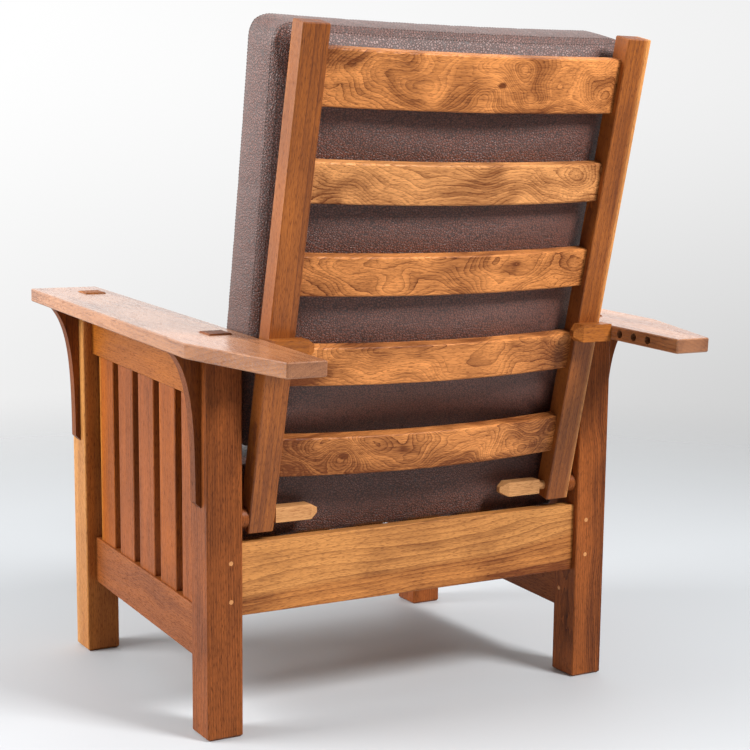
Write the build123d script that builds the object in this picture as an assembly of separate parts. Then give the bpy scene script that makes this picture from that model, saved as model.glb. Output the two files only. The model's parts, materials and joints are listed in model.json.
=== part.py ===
from build123d import *
import math
import os

# Mission reclining armchair (Morris chair). Millimetres, +Z up, the sitter faces -Y
# and the sitter's left is +X. Lengths along Y are measured from the middle of the
# four legs; everything is moved at the end so that the floor centre of the whole
# chair's outline is the origin.

# Legs and through tenons
LEG = 55.0
LEGS_WIDTH = 694.0
LEGS_DEPTH = 542.0
LEG_TENON = 35.0
TENON_PROUD = 2.0
FOOT_CHAMFER = 3.5
EASED = 1.5

# Arms: flat boards that fall towards the rear, tapered outside behind the rear leg
ARM_HEIGHT = 600.0
SLOPE = 0.0437
ARM_THICKNESS = 21.0
ARM_INNER = 282.5
ARM_OUTER = 397.0
ARM_END_WIDTH = 58.0
ARM_FRONT = -325.0
ARM_BEND = 314.0
ARM_REAR = 503.5

# Side frames: two rails and five slats a side
RAIL_THICKNESS = 22.0
SIDE_SETBACK = 16.5
SIDE_RAIL = 76.0
SIDE_RAIL_TOP = 195.5
RAIL_TENON = 10.0
SIDE_TENON_LENGTH = 22.0
SLAT_COUNT = 5
SLAT_WIDTH = 60.0
SLAT_THICKNESS = 12.0
SLAT_PITCH = 83.5
SLAT_SETBACK = 4.0
SLAT_HOUSING = 10.0

# Corbels under the arms
CORBEL_THICKNESS = 18.0
CORBEL_REACH = 43.0
CORBEL_TOE = 8.5
CORBEL_LENGTH = 222.0

# Front and rear seat rails, cleats and deck
CROSS_RAIL = 105.0
CROSS_SETBACK = 10.0
REAR_RAIL_TOP = 281.0
CROSS_TENON_LENGTH = 30.0
CLEAT = 24.0
DECK_SLATS = 6
DECK_SLAT_WIDTH = 62.0
DECK_SLAT_THICKNESS = 14.0
DECK_PITCH = 94.0
DECK_GAP = 1.0
DECK_DROP = 16.0

# Tenon pins and screws
PIN_DIAMETER = 6.5
PIN_LENGTH = 42.0
SCREW_DIAMETER = 4.0
SCREW_HEAD = 8.0
SCREW_LENGTH = 32.0
CLEAT_SCREW_PITCH = 124.0
HOLE_SPARE = 0.02

# Back frame, hinged low between the rear legs
RECLINE = 13.4
STILE_WIDTH = 40.0
STILE_THICKNESS = 32.0
STILE_LENGTH = 713.0
STILE_OUTER = 278.7
PIVOT_Y = 249.9
PIVOT_Z = 316.3
PIVOT_FROM_END = 20.0
BACK_SLAT_THICKNESS = 22.0
BACK_SLAT_BOW = 19.0
BACK_SLATS = [(605.0, 77.0), (476.0, 57.0), (347.0, 57.0), (216.5, 57.0), (79.5, 59.0)]
SLAT_TENON_THICKNESS = 12.0
SLAT_TENON_LENGTH = 20.0

# Pegs, spacers and support pins
PEG_SHANK = 14.0
PEG_NECK = 4.0
PEG_IN_LEG = 35.0
PEG_HANDLE = 22.0
PEG_HANDLE_LENGTH = 57.0
PEG_PULLED = 10.0
POINT_LENGTH = 13.0
SPACER_DIAMETER = 32.0
RUNNING_FIT = 0.05
SIDE_GAP = 0.3
HOLE_DIAMETER = 12.2
HOLE_DEPTH = 26.0
HOLE_COUNT = 4
HOLE_PITCH = 32.0
HEAD_DEPTH = 24.0
HEAD_HEIGHT = 26.0
HEAD_LENGTH = 51.0
SHANK_DIAMETER = 12.0
SHANK_LENGTH = 22.0

# Loose cushions: the back one is held in between the arms and swells a little above them
SEAT_HALF_WIDTH = 286.0
SEAT_DEPTH = 515.0
SEAT_REAR = 223.5
SEAT_UNDER = 20.0
SEAT_BOXING = 100.0
SEAT_CROWN = 33.0
SEAT_SIDES_IN = 4.0
SEAT_CORNER = 14.0
BACK_HALF_BOTTOM = 275.4
BACK_HALF_TOP = 290.0
BACK_BOTTOM = 107.0
BACK_TOP = 705.0
BACK_REAR_SEAM = 60.0
BACK_BOXING = 80.0
BACK_CROWN = 35.0
BACK_REAR_CROWN = 41.5
BACK_SIDES_IN = -2.0
BACK_CORNER = 28.0
ENDS_IN = 4.0
CUSHION_GAP = 0.6
CROWN_SPREAD = 230.0
CROWN_STEPS = 7
CROWN_TURN = 75.0

# Worked out from the driving dimensions
HALF_W = LEGS_WIDTH / 2
HALF_D = LEGS_DEPTH / 2
LEG_X = HALF_W - LEG / 2
LEG_Y = HALF_D - LEG / 2
LEG_INNER_X = HALF_W - LEG
LEG_INNER_Y = HALF_D - LEG
TILT = math.degrees(math.atan(SLOPE))
SIDE_OUTER = HALF_W - SIDE_SETBACK
SIDE_INNER = SIDE_OUTER - RAIL_THICKNESS
CROSS_OUTER = HALF_D - CROSS_SETBACK
CROSS_INNER = CROSS_OUTER - RAIL_THICKNESS
FRONT_RAIL_TOP = REAR_RAIL_TOP + SLOPE * 2 * CROSS_INNER
DECK_SLOPE = SLOPE + DECK_DROP / (2 * CROSS_INNER)
DECK_TILT = math.degrees(math.atan(DECK_SLOPE))
STILE_INNER = STILE_OUTER - STILE_WIDTH
CENTRE_Y = (ARM_FRONT + ARM_REAR) / 2


def arm_top(y):
    return ARM_HEIGHT - SLOPE * (y + LEG_Y)


def arm_under(y):
    return arm_top(y) - ARM_THICKNESS * math.hypot(1, SLOPE)


def lower_rail_top(y):
    return SIDE_RAIL_TOP - SLOPE * (y + LEG_INNER_Y)


def deck_top(y):
    """The deck is flush with the front rail and falls below the top of the rear one."""
    return REAR_RAIL_TOP - DECK_DROP + DECK_SLOPE * (CROSS_INNER - y)


def block(x0, x1, y0, y1, z0, z1):
    centre = Pos((x0 + x1) / 2, (y0 + y1) / 2, (z0 + z1) / 2)
    return centre * Box(x1 - x0, y1 - y0, z1 - z0)


def side_prism(points, x0, x1):
    """A board whose outline is drawn in Y and Z, from x0 to x1."""
    outline = make_face(Polyline(*points, close=True))
    return extrude(Plane.YZ.offset(x0) * outline, x1 - x0)


def sloped_board(bottom, top, y0, y1, x0, x1):
    """A board with sloping top and bottom edges and upright ends."""
    corners = [(y0, bottom(y0)), (y1, bottom(y1)), (y1, top(y1)), (y0, top(y0))]
    return side_prism(corners, x0, x1)


def above(height):
    """Everything above a plane that slopes from front to rear."""
    return sloped_board(height, lambda y: 1500.0, -800.0, 900.0, -600.0, 600.0)


def rod(diameter, start, direction, length):
    place = Plane(origin=start, z_dir=direction).location
    return place * Cylinder(diameter / 2, length, align=(Align.CENTER, Align.CENTER, Align.MIN))


def mirrored(solid):
    return mirror(solid, about=Plane.YZ)


# Frames that the sloping arms, the deck and the leaning back are drawn in
ARM_FRAME = Plane(origin=(0, -LEG_Y, ARM_HEIGHT), x_dir=(1, 0, 0),
                  z_dir=(0, math.sin(math.radians(TILT)), math.cos(math.radians(TILT)))).location
DECK_FRAME = Plane(origin=(0, SEAT_REAR, deck_top(SEAT_REAR)), x_dir=(1, 0, 0),
                   z_dir=(0, math.sin(math.radians(DECK_TILT)), math.cos(math.radians(DECK_TILT)))).location
LEAN = math.radians(RECLINE)
BACK_ORIGIN = (0,
               PIVOT_Y - PIVOT_FROM_END * math.sin(LEAN) + STILE_THICKNESS / 2 * math.cos(LEAN),
               PIVOT_Z - PIVOT_FROM_END * math.cos(LEAN) - STILE_THICKNESS / 2 * math.sin(LEAN))
BACK_FRAME = Plane(origin=BACK_ORIGIN, x_dir=(1, 0, 0), z_dir=(0, math.sin(LEAN), math.cos(LEAN))).location


# Side frames
def side_rail(bottom, top, under_arm):
    """A side rail with a tenon at each end, on the left side."""
    board = sloped_board(bottom, top, -LEG_INNER_Y, LEG_INNER_Y, SIDE_INNER, SIDE_OUTER)
    long_edges = board.edges().sort_by(SortBy.LENGTH)[-4:].sort_by(Axis.Z)
    board = chamfer(long_edges[:2] if under_arm else long_edges, 1.2)
    middle = (SIDE_INNER + SIDE_OUTER) / 2
    reach = LEG_INNER_Y + SIDE_TENON_LENGTH
    shoulder = 12.0
    tenon = sloped_board(lambda y: bottom(y) + shoulder, lambda y: top(y) - shoulder,
                         -reach, reach, middle - RAIL_TENON / 2, middle + RAIL_TENON / 2)
    return board + tenon


def side_slat(number):
    """One upright slat, housed in the two side rails."""
    centre = (number - (SLAT_COUNT - 1) / 2) * SLAT_PITCH
    outer = SIDE_OUTER - SLAT_SETBACK
    board = sloped_board(lambda y: lower_rail_top(y) - SLAT_HOUSING,
                         lambda y: upper_rail_bottom(y) + SLAT_HOUSING,
                         centre - SLAT_WIDTH / 2, centre + SLAT_WIDTH / 2,
                         outer - SLAT_THICKNESS, outer)
    return chamfer(board.edges().filter_by(Axis.Z), 1.2)


def upper_rail_bottom(y):
    return arm_under(y) - SIDE_RAIL


def corbel(y):
    """A long curved bracket on the outer face of a leg, under the arm."""
    toe = arm_under(y) - CORBEL_LENGTH
    head = arm_top(y)
    edge = Bezier((HALF_W + CORBEL_REACH, arm_under(y)),
                  (HALF_W + 12.0, arm_under(y) - 34.0),
                  (HALF_W + CORBEL_TOE, arm_under(y) - 100.0),
                  (HALF_W + CORBEL_TOE, toe + CORBEL_TOE))
    rest = Polyline((HALF_W + CORBEL_TOE, toe + CORBEL_TOE), (HALF_W, toe), (HALF_W, head),
                    (HALF_W + CORBEL_REACH, head), (HALF_W + CORBEL_REACH, arm_under(y)))
    profile = make_face(Wire([edge] + list(rest.edges())))
    front = Plane(origin=(0, y + CORBEL_THICKNESS / 2, 0), x_dir=(1, 0, 0), z_dir=(0, -1, 0)).location
    solid = extrude(front * profile, CORBEL_THICKNESS)
    return solid - above(arm_under)


def leg(y):
    """A leg with its foot chamfer and the through tenon that stands proud of the arm."""
    post = block(LEG_INNER_X, HALF_W, y - LEG / 2, y + LEG / 2, 0, ARM_HEIGHT)
    post = chamfer(post.faces().sort_by(Axis.Z)[0].edges(), FOOT_CHAMFER)
    post = chamfer(post.edges().filter_by(Axis.Z), EASED)
    post -= above(arm_under)
    half = LEG_TENON / 2
    tenon = block(LEG_X - half, LEG_X + half, y - half, y + half, 500, ARM_HEIGHT + 40)
    tenon -= above(lambda v: arm_top(v) + TENON_PROUD)
    tenon = chamfer(tenon.faces().sort_by(Axis.Z)[-1].edges(), TENON_PROUD * 0.8)
    return post + tenon


def arm():
    """A flat arm, tapered on its outer edge behind the rear leg, bored for the support pins."""
    inner_end = ARM_INNER + ARM_END_WIDTH
    outline = Polyline((ARM_INNER, ARM_FRONT + LEG_Y), (ARM_OUTER, ARM_FRONT + LEG_Y),
                       (ARM_OUTER, ARM_BEND + LEG_Y), (inner_end, ARM_REAR + LEG_Y),
                       (ARM_INNER, ARM_REAR + LEG_Y), close=True)
    board = extrude(make_face(outline), -ARM_THICKNESS)
    board = fillet(board.edges().filter_by(Axis.Z), 3.0)
    rims = board.faces().sort_by(Axis.Z)[-1].edges() + board.faces().sort_by(Axis.Z)[0].edges()
    board = chamfer(rims, EASED)
    for number in range(HOLE_COUNT):
        start = (ARM_INNER - 1, pin_place(number), -ARM_THICKNESS / 2)
        board -= rod(HOLE_DIAMETER, start, (1, 0, 0), HOLE_DEPTH + 1)
    return ARM_FRAME * board


def pin_place(number):
    """Distance of a support hole behind the front leg, along the arm."""
    return FIRST_HOLE + number * HOLE_PITCH


# Seat rails, cleats and deck
def cross_rail(front):
    """The front or rear seat rail with its tenons."""
    side = -1 if front else 1
    top = FRONT_RAIL_TOP if front else REAR_RAIL_TOP
    faces = sorted((side * CROSS_OUTER, side * CROSS_INNER))
    middle = sum(faces) / 2
    board = block(-LEG_INNER_X, LEG_INNER_X, faces[0], faces[1], top - CROSS_RAIL, top)
    board = chamfer(board.edges().filter_by(Axis.X), 1.0)
    reach = LEG_INNER_X + CROSS_TENON_LENGTH
    tenon = block(-reach, reach, middle - RAIL_TENON / 2, middle + RAIL_TENON / 2,
                  top - CROSS_RAIL + 12, top - 12)
    return board + tenon


def cleat(front):
    """A strip fixed inside a seat rail, cut to the slope of the deck."""
    side = -1 if front else 1
    faces = sorted((side * CROSS_INNER, side * (CROSS_INNER - CLEAT)))
    half = LEG_INNER_X - 6
    under = sloped_board(lambda y: deck_top(y) - DECK_SLAT_THICKNESS - CLEAT,
                         lambda y: deck_top(y) - DECK_SLAT_THICKNESS,
                         faces[0], faces[1], -half, half)
    return under


def deck_slat(number):
    """One slat of the deck that carries the seat cushion, from cleat to cleat."""
    centre = (number - (DECK_SLATS - 1) / 2) * DECK_PITCH
    end = CROSS_INNER - DECK_GAP
    return sloped_board(lambda y: deck_top(y) - DECK_SLAT_THICKNESS, deck_top, -end, end,
                        centre - DECK_SLAT_WIDTH / 2, centre + DECK_SLAT_WIDTH / 2)


def screw(head, direction, spare):
    """A countersunk wood screw, its flat head at the given point."""
    half = SCREW_DIAMETER / 2 + spare
    rim = SCREW_HEAD / 2 + spare
    tip = SCREW_LENGTH + spare
    outline = Polyline((0, 0), (rim, 0), (half, rim - half), (half, tip - 4), (0, tip), close=True)
    solid = revolve(Plane.XZ * make_face(outline), Axis.Z)
    return Plane(origin=head, z_dir=direction).location * solid


def deck_screws(spare=0.0):
    """Two screws a slat, down into the cleats."""
    screws = []
    reach = CROSS_INNER - CLEAT / 2
    for number in range(DECK_SLATS):
        x = (number - (DECK_SLATS - 1) / 2) * DECK_PITCH
        for y in (-reach, reach):
            screws.append(screw((x, y, deck_top(y) - 0.4), (0, 0, -1), spare))
    return screws


def cleat_screws(spare=0.0):
    """Four screws a cleat, into the rail behind it."""
    screws = []
    for side in (-1, 1):
        y = side * (CROSS_INNER - CLEAT + 0.4)
        z = deck_top(y) - DECK_SLAT_THICKNESS - CLEAT / 2
        for number in (-1.5, -0.5, 0.5, 1.5):
            x = number * CLEAT_SCREW_PITCH
            screws.append(screw((x, y, z), (0, side, 0), spare))
    return screws


# Pins through the tenons, flush with the legs
def tenon_pins(spare=0.0):
    pins = []
    across = PIN_DIAMETER + 2 * spare
    length = PIN_LENGTH + spare
    for side in (-1, 1):
        for end, top in ((-1, FRONT_RAIL_TOP), (1, REAR_RAIL_TOP)):
            for drop in (24.5, 80.5):
                start = (side * (LEG_INNER_X + 18), end * HALF_D, top - drop)
                pins.append(rod(across, start, (0, -end, 0), length))
            y = end * (LEG_INNER_Y + 13)
            z = lower_rail_top(y) - SIDE_RAIL / 2
            pins.append(rod(across, (side * LEG_INNER_X, y, z), (side, 0, 0), length))
    return pins


# Back frame
def stile():
    """The left stile of the back, one straight bar from the pivot to the top."""
    bar = block(STILE_INNER, STILE_OUTER, -STILE_THICKNESS, 0, 0, STILE_LENGTH)
    bar = chamfer(bar.edges(), EASED)
    start = (STILE_INNER - 1, -STILE_THICKNESS / 2, PIVOT_FROM_END)
    return bar - rod(PEG_SHANK + 2 * RUNNING_FIT, start, (1, 0, 0), STILE_WIDTH + 2)


def back_slat(low, height):
    """A slat bowed to the rear, flush with the front of the stiles at its ends."""
    rear = BACK_SLAT_THICKNESS - STILE_THICKNESS
    front = -STILE_THICKNESS
    bow = BACK_SLAT_BOW
    outline = [ThreePointArc((-STILE_INNER, rear), (0, rear + bow), (STILE_INNER, rear)),
               Line((STILE_INNER, rear), (STILE_INNER, front)),
               ThreePointArc((STILE_INNER, front), (0, front + bow), (-STILE_INNER, front)),
               Line((-STILE_INNER, front), (-STILE_INNER, rear))]
    body = Pos(0, 0, low) * extrude(make_face(Wire(outline)), height)
    long_edges = [edge for edge in body.edges() if edge.geom_type == GeomType.CIRCLE]
    body = fillet(long_edges, 3.0)
    reach = STILE_INNER + SLAT_TENON_LENGTH
    centre = (rear + front) / 2
    for side in (-1, 1):
        ends = sorted((side * (STILE_INNER - 12), side * reach))
        body += block(ends[0], ends[1], centre - SLAT_TENON_THICKNESS / 2,
                      centre + SLAT_TENON_THICKNESS / 2, low + 8, low + height - 8)
    return body


# Pegs and pins
def pointed_bar(across, upright, length):
    """A bar along -X from the origin, with bevelled long edges and a bevelled end."""
    bar = block(-length, 0, -across / 2, across / 2, -upright / 2, upright / 2)
    face = Plane(origin=(-length, 0, 0), x_dir=(0, 1, 0), z_dir=(-1, 0, 0))
    small = face.offset(POINT_LENGTH) * Rectangle(across * 0.35, upright * 0.35)
    point = loft([face * Rectangle(across, upright), small], ruled=True)
    return bar + point


def pivot_peg():
    """The pivot of the back, a peg pushed out through stile and spacer into the leg, fully home."""
    shank_start = STILE_INNER - PEG_NECK
    handle = Pos(shank_start, PIVOT_Y, PIVOT_Z) * pointed_bar(PEG_HANDLE, PEG_HANDLE, PEG_HANDLE_LENGTH)
    length = LEG_INNER_X + PEG_IN_LEG - shank_start
    return handle + rod(PEG_SHANK, (shank_start, PIVOT_Y, PIVOT_Z), (1, 0, 0), length)


def peg_bore():
    start = (LEG_INNER_X - 1, PIVOT_Y, PIVOT_Z)
    return rod(PEG_SHANK + 2 * RUNNING_FIT, start, (1, 0, 0), PEG_IN_LEG + 2)


def spacer():
    """A turned disc that keeps the stile clear of the leg."""
    gap = LEG_INNER_X - STILE_OUTER
    start = (STILE_OUTER + SIDE_GAP, PIVOT_Y, PIVOT_Z)
    disc = rod(SPACER_DIAMETER, start, (1, 0, 0), gap - SIDE_GAP)
    disc = chamfer(disc.edges(), 1.0)
    return disc - rod(PEG_SHANK + 2 * RUNNING_FIT, (STILE_OUTER - 5, PIVOT_Y, PIVOT_Z), (1, 0, 0), 40)


def support_pin():
    """The pin that the back leans on, plugged into the arm's first hole."""
    head = pointed_bar(HEAD_DEPTH, HEAD_HEIGHT, HEAD_LENGTH)
    shank = rod(SHANK_DIAMETER, (-2, 0, 0), (1, 0, 0), SHANK_LENGTH + 2)
    pin = head + shank
    place = Pos(ARM_INNER - SIDE_GAP, pin_place(0), -ARM_THICKNESS / 2)
    return ARM_FRAME * (place * pin)


def first_hole():
    """Hole position along the arm at which the pin's upper front edge meets the stile."""
    tilt = math.radians(TILT)
    up = (HEAD_HEIGHT - ARM_THICKNESS) / 2
    low, high = 500.0, 700.0
    for _ in range(50):
        guess = (low + high) / 2
        along = guess - HEAD_DEPTH / 2
        y = -LEG_Y + along * math.cos(tilt) + up * math.sin(tilt)
        z = ARM_HEIGHT - along * math.sin(tilt) + up * math.cos(tilt)
        behind = (y - BACK_ORIGIN[1]) * math.cos(LEAN) - (z - BACK_ORIGIN[2]) * math.sin(LEAN)
        if behind < SIDE_GAP:
            low = guess
        else:
            high = guess
    return guess


FIRST_HOLE = first_hole()


# Cushions: boxed, with a seam round each panel
def cushion_outline(plan, inset, height):
    """A rounded outline whose sides draw in or swell between the corners.

    plan is (half width, position) of the two ends, how far the sides draw in, and the corner's radius.
    """
    (half_a, low), (half_b, high), sides_in, corner = plan
    half_a, low = half_a - inset, low + inset
    half_b, high = half_b - inset, high - inset
    r = corner + inset * 0.25
    cut = r * (1 - math.sqrt(0.5))
    middle = (half_a + half_b) / 2 - sides_in
    wire = [ThreePointArc((-half_a + r, low), (0, low + ENDS_IN), (half_a - r, low)),
            ThreePointArc((half_a - r, low), (half_a - cut, low + cut), (half_a, low + r)),
            ThreePointArc((half_a, low + r), (middle, (low + high) / 2), (half_b, high - r)),
            ThreePointArc((half_b, high - r), (half_b - cut, high - cut), (half_b - r, high)),
            ThreePointArc((half_b - r, high), (0, high - ENDS_IN), (-half_b + r, high)),
            ThreePointArc((-half_b + r, high), (-half_b + cut, high - cut), (-half_b, high - r)),
            ThreePointArc((-half_b, high - r), (-middle, (low + high) / 2), (-half_a, low + r)),
            ThreePointArc((-half_a, low + r), (-half_a + cut, low + cut), (-half_a + r, low))]
    return Pos(0, 0, height) * make_face(Wire(wire))


def panel(plan, seam, crown, spread):
    """A crowned panel that rises from its seam as a part of an ellipse."""
    sections = []
    full = math.radians(CROWN_TURN)
    for step in range(CROWN_STEPS + 1):
        turn = full * step / CROWN_STEPS
        inset = spread * (1 - math.cos(turn))
        sections.append(cushion_outline(plan, inset, seam + crown * math.sin(turn) / math.sin(full)))
    return loft(sections, ruled=True)


def boxing(plan, low, high, swell):
    """The strip between the two seams, swelling a little between them."""
    sections = []
    for part, out in ((0.0, 0.0), (0.25, 0.75), (0.5, 1.0), (0.75, 0.75), (1.0, 0.0)):
        sections.append(cushion_outline(plan, -swell * out, low + part * (high - low)))
    return loft(sections, ruled=True)


def seat_cushion():
    """Drawn lying flat: up is the thickness, and its rear edge is at the origin."""
    plan = ((SEAT_HALF_WIDTH, -SEAT_DEPTH), (SEAT_HALF_WIDTH, 0.0), SEAT_SIDES_IN, SEAT_CORNER)
    seam = SEAT_UNDER + SEAT_BOXING
    solid = boxing(plan, SEAT_UNDER, seam, 3.0)
    solid += panel(plan, seam, SEAT_CROWN, CROWN_SPREAD)
    solid += panel(plan, SEAT_UNDER, -SEAT_UNDER, 60.0)
    return DECK_FRAME * (Pos(0, 0, CUSHION_GAP) * solid)


def back_cushion():
    """Drawn lying on its back: up is towards the sitter, measured from the stiles' rear face."""
    plan = ((BACK_HALF_BOTTOM, BACK_BOTTOM), (BACK_HALF_TOP, BACK_TOP), BACK_SIDES_IN, BACK_CORNER)
    front_seam = BACK_REAR_SEAM + BACK_BOXING
    solid = boxing(plan, BACK_REAR_SEAM, front_seam, 0.8)
    solid += panel(plan, front_seam, BACK_CROWN, CROWN_SPREAD)
    solid += panel(plan, BACK_REAR_SEAM, -BACK_REAR_CROWN, 260.0)
    stand = Plane(origin=(0, 0, 0), x_dir=(1, 0, 0), z_dir=(0, -1, 0)).location
    return BACK_FRAME * (stand * solid)


def build():
    """Every piece of the chair by name."""
    pieces = {}
    upper = side_rail(upper_rail_bottom, arm_under, True)
    lower = side_rail(lambda y: lower_rail_top(y) - SIDE_RAIL, lower_rail_top, False)
    slats = [side_slat(number) for number in range(SLAT_COUNT)]
    front_rail = cross_rail(True)
    rear_rail = cross_rail(False)
    legs = {"front": leg(-LEG_Y), "rear": leg(LEG_Y)}
    board = arm() - legs["front"] - legs["rear"]
    pin_holes = tenon_pins(HOLE_SPARE)
    for name, post in legs.items():
        post = post - [upper, lower, front_rail, rear_rail] - pin_holes
        if name == "rear":
            post -= peg_bore()
        legs[name] = post
    upper -= slats
    lower = lower - slats - pin_holes
    corbels = {"front": corbel(-LEG_Y), "rear": corbel(LEG_Y)}
    back_slats = [back_slat(low, height) for low, height in BACK_SLATS]
    left_stile = BACK_FRAME * (stile() - back_slats)

    pegs = {"left": pivot_peg(), "right": Pos(-PEG_PULLED, 0, 0) * pivot_peg()}
    for side, place in (("left", lambda solid: solid), ("right", mirrored)):
        for name in legs:
            pieces[f"leg_{name}_{side}"] = place(legs[name])
            pieces[f"corbel_{name}_{side}"] = place(corbels[name])
        pieces[f"arm_{side}"] = place(board)
        pieces[f"side_upper_rail_{side}"] = place(upper)
        pieces[f"side_lower_rail_{side}"] = place(lower)
        for number, slat in enumerate(slats):
            pieces[f"side_slat_{side}_{number + 1}"] = place(slat)
        pieces[f"back_stile_{side}"] = place(left_stile)
        pieces[f"spacer_{side}"] = place(spacer())
        pieces[f"pivot_peg_{side}"] = place(pegs[side])
        pieces[f"support_pin_{side}"] = place(support_pin())

    into_cleats = deck_screws(HOLE_SPARE)
    into_rails = cleat_screws(HOLE_SPARE)
    front_cleat = cleat(True)
    rear_cleat = cleat(False)
    pieces["front_rail"] = front_rail - pin_holes - into_rails
    pieces["rear_rail"] = rear_rail - pin_holes - into_rails
    pieces["seat_cleat_front"] = front_cleat - into_rails - into_cleats
    pieces["seat_cleat_rear"] = rear_cleat - into_rails - into_cleats
    for number in range(DECK_SLATS):
        pieces[f"deck_slat_{number + 1}"] = deck_slat(number) - into_cleats
    pieces["deck_screws"] = deck_screws()
    pieces["cleat_screws"] = cleat_screws()
    pieces["tenon_pins"] = tenon_pins()
    for number, slat in enumerate(back_slats):
        pieces[f"back_slat_{number + 1}"] = BACK_FRAME * slat
    pieces["seat_cushion"] = seat_cushion()
    pieces["back_cushion"] = back_cushion()
    return pieces


def main():
    os.makedirs("parts", exist_ok=True)
    to_origin = Pos(0, -CENTRE_Y, 0)
    for name, piece in build().items():
        if isinstance(piece, list):
            placed = Compound([to_origin * solid for solid in piece])
        else:
            placed = to_origin * piece
        export_step(placed, f"parts/{name}.step")


main()
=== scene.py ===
import math

import bmesh
import bpy
import json
from mathutils import Matrix, Vector
from mathutils.bvhtree import BVHTree


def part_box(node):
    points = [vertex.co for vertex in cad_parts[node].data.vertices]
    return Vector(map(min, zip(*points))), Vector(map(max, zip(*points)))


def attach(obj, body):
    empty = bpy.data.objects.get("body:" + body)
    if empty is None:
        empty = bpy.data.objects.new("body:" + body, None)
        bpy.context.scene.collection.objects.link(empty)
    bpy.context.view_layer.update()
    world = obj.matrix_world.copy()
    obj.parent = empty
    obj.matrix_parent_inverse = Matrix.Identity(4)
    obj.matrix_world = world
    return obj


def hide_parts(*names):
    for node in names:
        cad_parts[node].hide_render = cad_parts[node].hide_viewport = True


# Mission reclining armchair in oiled walnut with two loose leather cushions.
# Metres, in the frame of the CAD model: the sitter faces -Y and the sitter's left is +X.
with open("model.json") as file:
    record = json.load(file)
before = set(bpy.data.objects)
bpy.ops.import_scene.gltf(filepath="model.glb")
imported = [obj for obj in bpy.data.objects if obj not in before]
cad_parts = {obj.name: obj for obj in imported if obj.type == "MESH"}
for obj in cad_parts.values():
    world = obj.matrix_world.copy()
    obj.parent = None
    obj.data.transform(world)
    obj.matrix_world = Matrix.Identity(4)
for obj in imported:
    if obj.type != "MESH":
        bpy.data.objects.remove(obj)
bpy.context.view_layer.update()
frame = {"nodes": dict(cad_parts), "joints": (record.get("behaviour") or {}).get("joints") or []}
nodes = frame["nodes"]
joints = {joint["name"]: joint for joint in frame["joints"]}


# Legs. Four square posts of straight-grained walnut, oiled to a satin, with chamfered feet and
# a through tenon standing proud of each arm. The front left one has a pale streak of sapwood.
def node(tree, kind, inputs=None, **settings):
    """A shader node. inputs maps a socket's name or number to a value or to a socket to link."""
    made = tree.nodes.new("ShaderNode" + kind)
    for name, value in settings.items():
        setattr(made, name, value)
    for name, value in (inputs or {}).items():
        socket = made.inputs[name]
        if isinstance(value, bpy.types.NodeSocket):
            tree.links.new(value, socket)
        else:
            socket.default_value = value
    return made


def sums(tree, operation, *values):
    """The output of a Math node on numbers or sockets."""
    return node(tree, "Math", dict(enumerate(values)), operation=operation).outputs[0]


def spread(tree, operation, first, second):
    """The output of a Vector Math node on vectors or sockets."""
    return node(tree, "VectorMath", {0: first, 1: second}, operation=operation).outputs[0]


def blended(tree, share, first, second, kind="MIX"):
    """A colour between two colours."""
    mix = node(tree, "Mix", data_type="RGBA", blend_type=kind)
    for socket, value in zip((mix.inputs[0], mix.inputs[6], mix.inputs[7]), (share, first, second)):
        if isinstance(value, bpy.types.NodeSocket):
            tree.links.new(value, socket)
        else:
            socket.default_value = value
    return mix.outputs[2]


def ranged(tree, value, low, high, to_low=0.0, to_high=1.0):
    """A value taken smoothly from one range to another."""
    inputs = {0: value, 1: low, 2: high, 3: to_low, 4: to_high}
    return node(tree, "MapRange", inputs, interpolation_type="SMOOTHSTEP").outputs[0]


def cloudy(tree, vector, stretch, detail=3.0):
    """Noise stretched by a factor along each axis."""
    scaled = spread(tree, "MULTIPLY", vector, stretch)
    inputs = {"Vector": scaled, "Scale": 1.0, "Detail": detail}
    return node(tree, "TexNoise", inputs)


def new_group(name, inputs, outputs):
    """An empty shader node group and its two ends."""
    group = bpy.data.node_groups.new(name, "ShaderNodeTree")
    for label, kind, value in inputs:
        socket = group.interface.new_socket(label, in_out="INPUT", socket_type="NodeSocket" + kind)
        if value is not None:
            socket.default_value = value
    for label, kind in outputs:
        group.interface.new_socket(label, in_out="OUTPUT", socket_type="NodeSocket" + kind)
    start = group.nodes.new("NodeGroupInput")
    end = group.nodes.new("NodeGroupOutput")
    return group, start.outputs, end.inputs


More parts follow.
